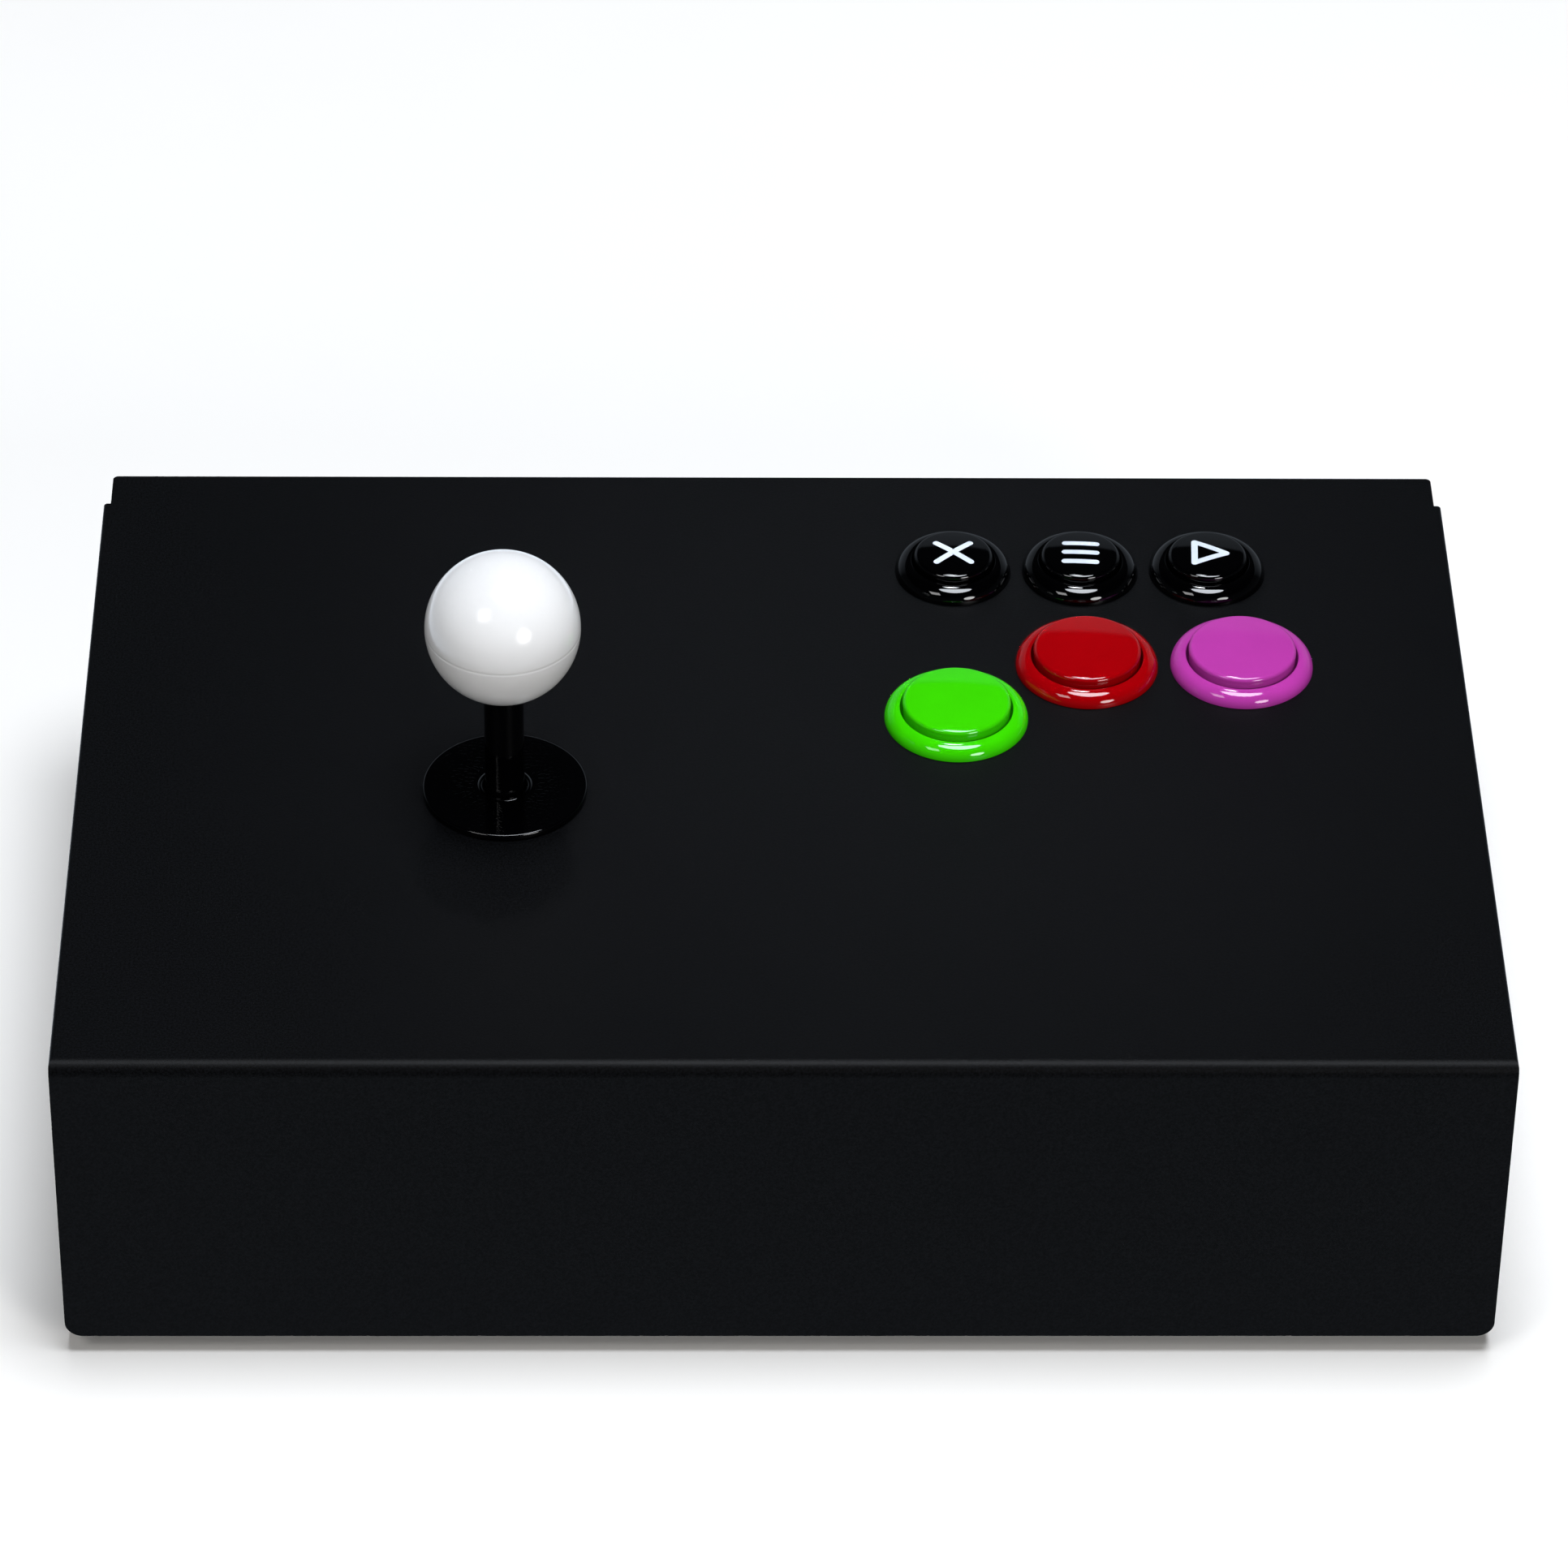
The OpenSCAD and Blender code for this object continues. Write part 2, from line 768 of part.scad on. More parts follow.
module button_housing(pos, sizes, shade) {
    rim_r = sizes[1];
    rim_h = sizes[2];
    bore = sizes[3];
    barrel_r = sizes[0] - barrel_gap;
    stop_z = flange_step_z - stop_gap - flange_t - travel - stop_gap;
    lug = [[barrel_r - 1, -sheet_t - 0.1], [barrel_r + lug_reach, -sheet_t - 0.1],
           [barrel_r - 0.2, -sheet_t - lug_h], [barrel_r - 1, -sheet_t - lug_h]];
    color(shade)
    at_button(pos) {
        difference() {
            rotate_extrude($fn = 128) {
                intersection() {
                    translate([rim_r - rim_h, 0]) circle(rim_h);
                    translate([rim_r - rim_h, 0]) square(rim_h);
                }
                translate([bore, 0]) square([rim_r - rim_h - bore, rim_h]);
                translate([bore, flange_step_z]) square([barrel_r - bore, -flange_step_z]);
                translate([bore + flange_room, stop_z])
                    square([barrel_r - bore - flange_room, flange_step_z - stop_z]);
                translate([bore, barrel_floor_z]) square([barrel_r - bore, stop_z - barrel_floor_z]);
                translate([stem_hole_r, barrel_floor_z - barrel_floor_t])
                    square([barrel_r - stem_hole_r, barrel_floor_t]);
            }
        }
        for (s = [0, 1])
            mirror([s, 0, 0])
                translate([0, lug_w / 2, 0])
                    rotate([90, 0, 0])
                        linear_extrude(lug_w) polygon(lug);
        for (s = [-1, 1])
            translate([s * (switch_size[0] + cradle_t) / 2, 0,
                       barrel_floor_z - barrel_floor_t - switch_size[2] / 2])
                cube([cradle_t, switch_size[1], switch_size[2]], center = true);
    }
}

module button_plunger(pos, sizes, shade) {
    bore = sizes[3];
    r = sizes[4];
    cap_z = sizes[5] - crown;
    flange_z = flange_step_z - stop_gap;
    crown_r = (pow(r - edge_r, 2) + crown * crown) / (2 * crown);
    color(shade)
    at_button(pos)
        difference() {
            rotate_extrude($fn = 128) {
                translate([0, flange_z - flange_t]) square([r, cap_z - edge_r - flange_z + flange_t]);
                translate([0, flange_z - flange_t])
                    square([bore + flange_reach, flange_t]);
                translate([0, 0]) square([r - edge_r, cap_z]);
                translate([r - edge_r, cap_z - edge_r]) circle(edge_r);
                intersection() {
                    translate([0, cap_z + crown - crown_r]) circle(crown_r, $fn = 720);
                    translate([0, cap_z - 1]) square([r - edge_r, 2]);
                }
            }
            difference() {
                translate([0, 0, stem_low_z])
                    cylinder(r = r - cap_wall, h = cap_z - cap_roof - stem_low_z);
                translate([0, 0, stem_low_z - 1]) cylinder(r = stem_r, h = 30);
            }
        }
    color(shade)
    at_button(pos)
        translate([0, 0, stem_low_z]) cylinder(r = stem_r, h = cap_z - 1 - stem_low_z);
}

module button_spring(pos, sizes) {
    color("silver")
    at_button(pos)
        coil((stem_r + sizes[4] - cap_wall) / 2, button_wire_r, barrel_floor_z,
             sizes[5] - crown - cap_roof, 5);
}

module green_housing() { button_housing(green_pos, large_sizes, "#2fd414"); }
module green_plunger() { button_plunger(green_pos, large_sizes, "#38e018"); }
module green_spring() { button_spring(green_pos, large_sizes); }
module red_housing() { button_housing(red_pos, large_sizes, "#b0001a"); }
module red_plunger() { button_plunger(red_pos, large_sizes, "#c00020"); }
module red_spring() { button_spring(red_pos, large_sizes); }
module magenta_housing() { button_housing(magenta_pos, large_sizes, "#b83cab"); }
module magenta_plunger() { button_plunger(magenta_pos, large_sizes, "#c44ab8"); }
module magenta_spring() { button_spring(magenta_pos, large_sizes); }
module cross_housing() { button_housing(cross_pos, small_sizes, "#0a0a0c"); }
module cross_plunger() { button_plunger(cross_pos, small_sizes, "#101014"); }
module cross_spring() { button_spring(cross_pos, small_sizes); }
module menu_housing() { button_housing(menu_pos, small_sizes, "#0a0a0c"); }
module menu_plunger() { button_plunger(menu_pos, small_sizes, "#101014"); }
module menu_spring() { button_spring(menu_pos, small_sizes); }
module play_housing() { button_housing(play_pos, small_sizes, "#0a0a0c"); }
module play_plunger() { button_plunger(play_pos, small_sizes, "#101014"); }
module play_spring() { button_spring(play_pos, small_sizes); }

module button_switches() {
    size = switch_size;
    pin = switch_pin;
    color("#26282b")
    for (pos = button_places)
        translate([pos[0], pos[1], button_top]) {
            translate([-size[0] / 2, -size[1] / 2, -size[2]]) cube(size);
            cylinder(r = 1, h = switch_nub_h);
            for (s = [-1, 1])
                translate([s * 4, 0, -size[2] - pin[2] / 2]) cube(pin, center = true);
        }
}

// Electronics --------------------------------------------------------------------------

module encoder_board() {
    color("#1f6b3a")
    translate([encoder_pos[0], encoder_pos[1], encoder_z])
        difference() {
            linear_extrude(board_t) round_rect(encoder_size, 2);
            at_grid(encoder_grid) translate([0, 0, -1]) cylinder(r = 1.6, h = board_t + 2);
        }
}

module board_standoffs() {
    color("#c9a227")
    translate([encoder_pos[0], encoder_pos[1], floor_z])
        at_grid(encoder_grid)
            difference() {
                cylinder(r = standoff_r, h = standoff_h, $fn = 6);
                translate([0, 0, 1]) cylinder(r = 1.5, h = standoff_h);
            }
}

module board_screws() {
    color("silver")
    translate([encoder_pos[0], encoder_pos[1], encoder_top_z])
        at_grid(encoder_grid) {
            cylinder(r = 2.7, h = 2);
            translate([0, 0, -board_t - 4]) cylinder(r = 1.5, h = board_t + 5);
        }
}

module header(pos, size) {
    translate([pos[0] - size[0] / 2, pos[1] - size[1] / 2, encoder_top_z]) cube(size);
}

module board_connectors() {
    color("ivory") {
        for (i = [0 : 5])
            header([header_x0 + i * header_pitch, header_y], header_size);
        header(lever_header, [8, 13, header_size[2]]);
        header(usb_header, [10, 6, header_size[2]]);
    }
}

module at_socket_screws() {
    for (s = [-1, 1])
        translate([socket_pos[0] + s * socket_screw_x, tray_rear_y, socket_pos[1]])
            rotate([-90, 0, 0]) children();
}

module usb_socket() {
    body = socket_body;
    flange = socket_flange;
    nose_l = tray_rear_y - socket_wall_y;
    color("#8d9094")
    difference() {
        union() {
            translate([socket_pos[0] - flange[0] / 2, socket_wall_y - flange[1],
                       socket_pos[1] - flange[2] / 2])
                cube(flange);
            translate([socket_pos[0] - body[0] / 2, socket_wall_y - flange[1] - body[1],
                       socket_pos[1] - body[2] / 2])
                cube([body[0], body[1] + 1, body[2]]);
            translate([socket_pos[0], tray_rear_y, socket_pos[1]])
                rotate([90, 0, 0])
                    linear_extrude(nose_l + 1) slot(socket_nose);
        }
        translate([socket_pos[0], tray_rear_y + 1, socket_pos[1]])
            rotate([90, 0, 0])
                linear_extrude(8)
                    difference() {
                        slot(socket_mouth);
                        square(socket_tongue, center = true);
                    }
        translate([socket_pos[0], tray_rear_y + 1, socket_pos[1]])
            cube([20, 3, 1], center = true);
        at_socket_screws()
            translate([0, 0, -8]) cylinder(r = socket_screw_r, h = 10);
    }
}

module usb_screws() {
    color("silver")
    at_socket_screws() flat_screw(socket_head_r, socket_head_h, socket_screw_r, 5);
}

module lever_lead() {
    plug_z = top_z + housing_low_z - board_t - connector_size[2];
    plug_y = lever_pos[1] + housing_half[1] + switch_board_tail / 2;
    color("#303236")
    lead([lever_pos[0], plug_y, plug_z], [lever_header[0], lever_header[1], header_top_z],
         lead_r, 14, 20);
}

module button_leads() {
    color("#54585e")
    for (i = [0 : 5])
        lead([button_places[i][0], button_places[i][1], button_top - switch_size[2]],
             [header_x0 + i * header_pitch, header_y, header_top_z], wire_r, 16, 14);
}

module usb_lead() {
    exit_y = socket_wall_y - socket_flange[1] - socket_body[1] / 2;
    color("#202225")
    lead([socket_pos[0], exit_y, socket_pos[1] - socket_body[2] / 2],
         [usb_header[0], usb_header[1], header_top_z], lead_r, 16, 16);
}

top_cover();
base_tray();
rubber_feet();
foot_screws();
foot_nuts();
cover_screws();
cover_rivet_nuts();
weld_studs();
stud_nuts();
mount_plate();
plate_screws();
lever_housing();
pivot_retainer();
switch_board();
lever_switches();
lever_connector();
gate();
gate_screws();
bearing_liner();
lever_shaft();
pivot_ball();
shaft_cover();
ball_top();
lever_spring();
spring_seat();
actuator();
e_clip();
glide_ring();
dust_washer();
green_housing();
green_plunger();
green_spring();
red_housing();
red_plunger();
red_spring();
magenta_housing();
magenta_plunger();
magenta_spring();
cross_housing();
cross_plunger();
cross_spring();
menu_housing();
menu_plunger();
menu_spring();
play_housing();
play_plunger();
play_spring();
button_switches();
encoder_board();
board_standoffs();
board_screws();
board_connectors();
usb_socket();
usb_screws();
lever_lead();
button_leads();
usb_lead();
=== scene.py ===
import json
import math

import bpy
import numpy as np
from mathutils import Matrix, Vector


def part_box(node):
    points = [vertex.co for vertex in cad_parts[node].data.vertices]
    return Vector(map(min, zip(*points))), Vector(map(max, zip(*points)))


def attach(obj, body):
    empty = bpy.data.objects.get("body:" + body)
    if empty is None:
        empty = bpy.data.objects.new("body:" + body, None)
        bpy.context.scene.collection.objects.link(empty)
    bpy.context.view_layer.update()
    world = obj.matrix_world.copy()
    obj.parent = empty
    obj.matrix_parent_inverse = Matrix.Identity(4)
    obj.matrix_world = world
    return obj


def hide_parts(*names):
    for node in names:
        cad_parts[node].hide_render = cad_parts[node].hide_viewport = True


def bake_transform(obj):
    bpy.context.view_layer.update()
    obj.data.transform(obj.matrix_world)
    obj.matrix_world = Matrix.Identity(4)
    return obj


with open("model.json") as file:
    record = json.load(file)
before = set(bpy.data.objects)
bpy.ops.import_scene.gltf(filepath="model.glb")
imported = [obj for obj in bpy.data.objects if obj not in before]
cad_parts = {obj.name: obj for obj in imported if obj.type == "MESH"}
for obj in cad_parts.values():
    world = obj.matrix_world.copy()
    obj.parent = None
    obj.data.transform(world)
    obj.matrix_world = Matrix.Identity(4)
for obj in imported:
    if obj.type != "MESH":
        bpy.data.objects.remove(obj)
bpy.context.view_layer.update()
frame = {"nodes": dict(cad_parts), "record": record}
MM = 0.001

# The frame's own sizes ---------------------------------------------------------------


def node_low(node):
    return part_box(node)[0]


def node_high(node):
    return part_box(node)[1]


def node_centre(node):
    low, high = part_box(node)
    return (low + high) / 2


def node_size(node):
    low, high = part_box(node)
    return high - low


PANEL_Z = node_high("top_cover").z
LEVER = node_centre("mount_plate")
LEVER.z = PANEL_Z
BALL_R = node_size("ball_top").x / 2
BALL_CENTRE = Vector((LEVER.x, LEVER.y, node_high("ball_top").z - BALL_R))
SHAFT_R = node_size("lever_shaft").x / 2
TUBE_R = node_size("shaft_cover").x / 2

# Meshes --------------------------------------------------------------------------------


def make_object(name, verts, faces, material, sharp_deg=35):
    """A mesh object in the row frame, smooth but for the edges sharper than sharp_deg."""
    mesh = bpy.data.meshes.new(name)
    mesh.from_pydata([tuple(v) for v in verts], [], faces)
    mesh.validate()
    mesh.shade_smooth()
    mesh.set_sharp_from_angle(angle=math.radians(sharp_deg))
    mesh.materials.append(material)
    obj = bpy.data.objects.new(name, mesh)
    bpy.context.scene.collection.objects.link(obj)
    return obj


def arc(centre_r, centre_z, radius, start_deg, end_deg, steps):
    """Points of an arc in the (r, z) plane."""
    angles = [math.radians(start_deg + (end_deg - start_deg) * i / steps) for i in range(steps + 1)]
    return [(centre_r + radius * math.cos(a), centre_z + radius * math.sin(a)) for a in angles]


def lathe(profile, centre, segments=144, closed=False):
    """Turns a profile of (r, z) points about a vertical axis. An end with r = 0 becomes one point."""
    verts, rings = [], []
    for r, z in profile:
        if r < 1e-9:
            rings.append([len(verts)])
            verts.append((centre.x, centre.y, centre.z + z))
            continue
        first = len(verts)
        for k in range(segments):
            a = 2 * math.pi * k / segments
            verts.append((centre.x + r * math.cos(a), centre.y + r * math.sin(a), centre.z + z))
        rings.append(list(range(first, first + segments)))
    faces = []
    pairs = list(zip(rings, rings[1:]))
    if closed:
        pairs.append((rings[-1], rings[0]))
    for lower, upper in pairs:
        for k in range(segments):
            j = (k + 1) % segments
            if len(lower) == 1:
                faces.append((lower[0], upper[j], upper[k]))
            elif len(upper) == 1:
                faces.append((lower[k], lower[j], upper[0]))
            else:
                faces.append((lower[k], lower[j], upper[j], upper[k]))
    return verts, faces


def prism(outline, low, high, origin, across, along, up):
    """Extrudes a closed 2-D outline between two heights. The outline lies in across and along."""
    verts = []
    for h in (low, high):
        verts += [origin + across * x + along * y + up * h for x, y in outline]
    n = len(outline)
    sides = [(i, (i + 1) % n, n + (i + 1) % n, n + i) for i in range(n)]
    return verts, [tuple(range(n - 1, -1, -1)), tuple(range(n, 2 * n))] + sides


def join(*parts):
    """One vertex list and one face list from several."""
    verts, faces = [], []
    for part_verts, part_faces in parts:
        first = len(verts)
        verts += part_verts
        faces += [tuple(first + i for i in face) for face in part_faces]
    return verts, faces


def tube_along(points, radius, sides=12):
    """A round tube with flat ends that follows a list of points."""
    path = [Vector(p) for p in points]
    verts, faces = [], []
    side = None
    for i, p in enumerate(path):
        ahead = path[min(i + 1, len(path) - 1)] - path[max(i - 1, 0)]
        ahead.normalize()
        if side is None:
            side = ahead.orthogonal().normalized()
        side = (side - ahead * side.dot(ahead)).normalized()
        other = ahead.cross(side)
        for k in range(sides):
            a = 2 * math.pi * k / sides
            verts.append(p + side * (radius * math.cos(a)) + other * (radius * math.sin(a)))
    for i in range(len(path) - 1):
        for k in range(sides):
            j = (k + 1) % sides
            faces.append((i * sides + k, i * sides + j, (i + 1) * sides + j, (i + 1) * sides + k))
    faces.append(tuple(range(sides - 1, -1, -1)))
    faces.append(tuple((len(path) - 1) * sides + k for k in range(sides)))
    return verts, faces


# Materials -------------------------------------------------------------------------------


def map_range(tree, source, low, high, out_low, out_high):
    """Maps a value from low..high to out_low..out_high with a node, and keeps it in that range."""
    node = tree.nodes.new("ShaderNodeMapRange")
    for socket, value in zip(("From Min", "From Max", "To Min", "To Max"),
                             (low, high, out_low, out_high)):
        node.inputs[socket].default_value = value
    tree.links.new(source, node.inputs["Value"])
    return node.outputs["Result"]


class Shader:
    """A Principled material whose colour, roughness and surface come from nodes in object space."""

    def __init__(self, name, rough, metallic=0.0, specular=0.5):
        self.material = bpy.data.materials.new(name)
        self.material.use_nodes = True
        self.tree = self.material.node_tree
        self.bsdf = self.tree.nodes["Principled BSDF"]
        self.bsdf.inputs["Roughness"].default_value = rough
        self.bsdf.inputs["Metallic"].default_value = metallic
        self.bsdf.inputs["Specular IOR Level"].default_value = specular
        self.coords = self.tree.nodes.new("ShaderNodeTexCoord")
        self.height = None

    def noise(self, scale, detail=2.0, rough=0.5, stretch=None):
        node = self.tree.nodes.new("ShaderNodeTexNoise")
        node.inputs["Scale"].default_value = scale
        node.inputs["Detail"].default_value = detail
        node.inputs["Roughness"].default_value = rough
        source = self.coords.outputs["Object"]
        if stretch:
            mapping = self.tree.nodes.new("ShaderNodeMapping")
            mapping.inputs["Scale"].default_value = stretch
            self.tree.links.new(source, mapping.inputs["Vector"])
            source = mapping.outputs["Vector"]
        self.tree.links.new(source, node.inputs["Vector"])
        return node.outputs["Fac"]

    def cell_edges(self, scale):
        """Distance to the nearest border between irregular cells."""
        node = self.tree.nodes.new("ShaderNodeTexVoronoi")
        node.feature = "DISTANCE_TO_EDGE"
        node.inputs["Scale"].default_value = scale
        self.tree.links.new(self.coords.outputs["Object"], node.inputs["Vector"])
        return node.outputs["Distance"]

    def colour(self, fac, first, second, low=0.35, high=0.65):
        ramp = self.tree.nodes.new("ShaderNodeValToRGB")
        ramp.color_ramp.elements[0].position = low
        ramp.color_ramp.elements[0].color = (*first, 1)
        ramp.color_ramp.elements[1].position = high
        ramp.color_ramp.elements[1].color = (*second, 1)
        self.tree.links.new(fac, ramp.inputs["Fac"])
        self.tree.links.new(ramp.outputs["Color"], self.bsdf.inputs["Base Color"])

    def rough(self, fac, low, high):
        result = map_range(self.tree, fac, 0.3, 0.7, low, high)
        self.tree.links.new(result, self.bsdf.inputs["Roughness"])

    def bump(self, fac, strength, distance):
        node = self.tree.nodes.new("ShaderNodeBump")
        node.inputs["Strength"].default_value = strength
        node.inputs["Distance"].default_value = distance
        self.tree.links.new(fac, node.inputs["Height"])
        if self.height:
            self.tree.links.new(self.height, node.inputs["Normal"])
        self.height = node.outputs["Normal"]
        self.tree.links.new(self.height, self.bsdf.inputs["Normal"])


def powder_coat(name, shade):
    """Fine-textured powder coat: tiny orange peel grains and a slow change of sheen."""
    s = Shader(name, 0.44, specular=0.075)
    grain = s.noise(2600, 3.0, 0.6)
    patch = s.noise(9, 3.0, 0.5)
    s.colour(s.noise(2000, 2.0, 0.6), [c * 0.1 for c in shade], [c * 2.4 for c in shade])
    s.rough(patch, 0.43, 0.46)
    s.bump(s.noise(1500, 2.0, 0.5), 0.30, 0.00006)
    s.bump(grain, 0.35, 0.00006)
    return s.material


def gloss_plastic(name, shade, rough=0.08, deep=0.86, specular=0.5):
    """Polished injection moulding: nearly flat, with faint flow marks and very fine peel."""
    s = Shader(name, rough, specular=specular)
    flow = s.noise(60, 3.0, 0.5)
    fine = s.noise(1500, 2.0, 0.5)
    s.colour(flow, [c * deep for c in shade], shade)
    s.rough(flow, rough * 0.8, rough * 1.3)
    s.bump(fine, 0.04, 0.00002)
    return s.material


def matt_plastic(name, shade, rough=0.5, grain_scale=1800):
    s = Shader(name, rough)
    grain = s.noise(grain_scale, 3.0, 0.6)
    s.colour(s.noise(70, 3.0), [c * 0.82 for c in shade], shade)
    s.rough(grain, rough - 0.06, rough + 0.08)
    s.bump(grain, 0.2, 0.00006)
    return s.material


def metal(name, shade, rough, stretch=(1, 1, 1), scale=900):
    """Plated or brushed metal: streaks along the short axis of stretch."""
    s = Shader(name, rough, metallic=1.0)
    streak = s.noise(scale, 4.0, 0.6, stretch)
    s.colour(s.noise(120, 3.0), [c * 0.8 for c in shade], shade)
    s.rough(streak, rough * 0.75, rough * 1.35)
    s.bump(streak, 0.1, 0.00003)
    return s.material


def rubber(name, shade):
    s = Shader(name, 0.75, specular=0.3)
    grain = s.noise(1400, 4.0, 0.65)
    s.colour(s.noise(90, 3.0), [c * 0.7 for c in shade], shade)
    s.rough(grain, 0.68, 0.85)
    s.bump(grain, 0.3, 0.00012)
    return s.material


def circuit_board(name, mask, copper):
    """Solder mask over tracks: the tracks stand a little proud and are a little lighter."""
    s = Shader(name, 0.35, specular=0.5)
    lines = map_range(s.tree, s.cell_edges(260), 0.02, 0.05, 1.0, 0.0)
    s.colour(lines, mask, copper, 0.2, 0.8)
    s.rough(s.noise(300, 3.0), 0.28, 0.42)
    s.bump(lines, 0.3, 0.00003)
    return s.material


def floor_paint(name, shade):
    s = Shader(name, 0.7, specular=0.2)
    s.colour(s.noise(3, 4.0), [c * 0.985 for c in shade], shade)
    s.rough(s.noise(40, 3.0), 0.66, 0.74)
    return s.material


MATERIALS = {
    "powder_coat": powder_coat("powder_coat", (0.0010, 0.0011, 0.0014)),
    "tray_coat": powder_coat("tray_coat", (0.0012, 0.0013, 0.0015)),
    "zinc": metal("zinc", (0.60, 0.60, 0.58), 0.32),
    "black_zinc": metal("black_zinc", (0.030, 0.030, 0.033), 0.35),
    "copper_flash": metal("copper_flash", (0.72, 0.42, 0.30), 0.3),
    "shaft_steel": metal("shaft_steel", (0.66, 0.67, 0.68), 0.18, (1, 1, 12)),
    "spring_steel": metal("spring_steel", (0.5, 0.5, 0.5), 0.28),
    "brass": metal("brass", (0.72, 0.52, 0.22), 0.25, (1, 1, 8)),
    "foot_rubber": rubber("foot_rubber", (0.020, 0.020, 0.021)),
    "white_ball": gloss_plastic("white_ball", (0.74, 0.73, 0.72), 0.14, 0.985, 0.45),
    "green_plastic": gloss_plastic("green_plastic", (0.036, 0.54, 0.0008), 0.035, 0.94),
    "red_plastic": gloss_plastic("red_plastic", (0.30, 0.0002, 0.0018), 0.035, 0.94),
    "magenta_plastic": gloss_plastic("magenta_plastic", (0.41, 0.037, 0.31), 0.035, 0.94),
    "black_button": gloss_plastic("black_button", (0.0003, 0.0003, 0.0004), 0.035),
    "tube_plastic": gloss_plastic("tube_plastic", (0.0008, 0.0008, 0.0010), 0.09),
    "washer_plastic": gloss_plastic("washer_plastic", (0.0004, 0.0004, 0.0006), 0.05),
    "black_nylon": matt_plastic("black_nylon", (0.016, 0.016, 0.017)),
    "white_nylon": matt_plastic("white_nylon", (0.72, 0.71, 0.66), 0.42),
    "board": circuit_board("board", (0.004, 0.075, 0.026), (0.015, 0.16, 0.06)),
    "switch_black": matt_plastic("switch_black", (0.022, 0.023, 0.026), 0.4),
    "header_ivory": matt_plastic("header_ivory", (0.68, 0.62, 0.48), 0.45),
    "socket_steel": metal("socket_steel", (0.42, 0.43, 0.44), 0.3),
    "lead_jacket": matt_plastic("lead_jacket", (0.022, 0.022, 0.025), 0.45),
}
MARK_INK = matt_plastic("mark_ink", (0.70, 0.76, 0.86), 0.38)

SLOT_OF = {entry["node"]: entry["material_slot"] for entry in frame["record"]["subparts"]}
for node_name, node_object in frame["nodes"].items():
    node_object.data.materials.clear()
    node_object.data.materials.append(MATERIALS[SLOT_OF[node_name]])

BODY_OF = {node: body for body, nodes in frame["record"]["behaviour"]["bodies"].items()
           for node in nodes}


def stand_for(node, verts, faces, sharp_deg=35, rides=True):
    """Makes the detailed piece that is shown in place of a CAD node."""
    slot = SLOT_OF[node]
    obj = make_object(node + "_looks", verts, faces, MATERIALS[slot], sharp_deg)
    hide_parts(node)
    if rides:
        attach(obj, BODY_OF[node])
    return obj


# Lever ---------------------------------------------------------------------------------------


def make_ball():
    """Sphere with a fine parting line at its equator, a flat at the tube and a blind bore."""
    groove_w, groove_d = 0.20 * MM, 0.08 * MM
    flat_z = node_low("ball_top").z - BALL_CENTRE.z
    bore_top = node_high("lever_shaft").z - BALL_CENTRE.z
    start = math.degrees(math.asin(flat_z / BALL_R))
    groove = math.degrees(groove_w / BALL_R)
    profile = [(0, bore_top), (SHAFT_R, bore_top), (SHAFT_R, flat_z)]
    profile += arc(0, 0, BALL_R, start, -groove, 60)
    profile += [(BALL_R - groove_d, 0)]
    profile += arc(0, 0, BALL_R, groove, 89.5, 72)
    profile += [(0, BALL_R)]
    verts, faces = lathe(profile, BALL_CENTRE, 192)
    return stand_for("ball_top", verts, faces, 50)


def make_tube():
    """Shaft cover: a tube whose ends are lightly broken."""
    low, high = node_low("shaft_cover").z, node_high("shaft_cover").z
    edge = 0.25 * MM
    wall = SHAFT_R + 0.02 * MM
    profile = [(wall, low), (TUBE_R - edge, low)]
    profile += arc(TUBE_R - edge, low + edge, edge, -90, 0, 5)
    profile += [(TUBE_R, low + (high - low) * i / 12) for i in range(1, 12)]
    profile += arc(TUBE_R - edge, high - edge, edge, 0, 90, 5)
    profile += [(wall, high)]
    verts, faces = lathe(profile, Vector((LEVER.x, LEVER.y, 0)), 96, closed=True)
    return stand_for("shaft_cover", verts, faces)


def nearest_two(x, y, cell, seed):
    """Distances from each point to the two nearest of a jittered grid of points."""
    rng = np.random.default_rng(seed)
    size = 64
    jitter = rng.random((size, size, 2))
    gx, gy = np.floor(x / cell).astype(int), np.floor(y / cell).astype(int)
    first = np.full(x.shape, 9.0)
    second = np.full(x.shape, 9.0)
    for dx in (-1, 0, 1):
        for dy in (-1, 0, 1):
            cx, cy = gx + dx, gy + dy
            off = jitter[cx % size, cy % size]
            d = np.hypot(x / cell - cx - off[..., 0], y / cell - cy - off[..., 1])
            second = np.minimum(second, np.maximum(first, d))
            first = np.minimum(first, d)
    return first, second


def leather_grain(x, y):
    """Height from 0 in the creases to 1 on the flat pebbles of a moulded leather grain."""
    cell, width, seed = 1.25 * MM, 0.16, 3
    wobble = 0.25 * cell
    wx = x + wobble * np.sin(y / cell * 2.1 + seed)
    wy = y + wobble * np.sin(x / cell * 1.7 + seed)
    first, second = nearest_two(wx, wy, cell, seed)
    return np.clip((second - first) / width, 0, 1)


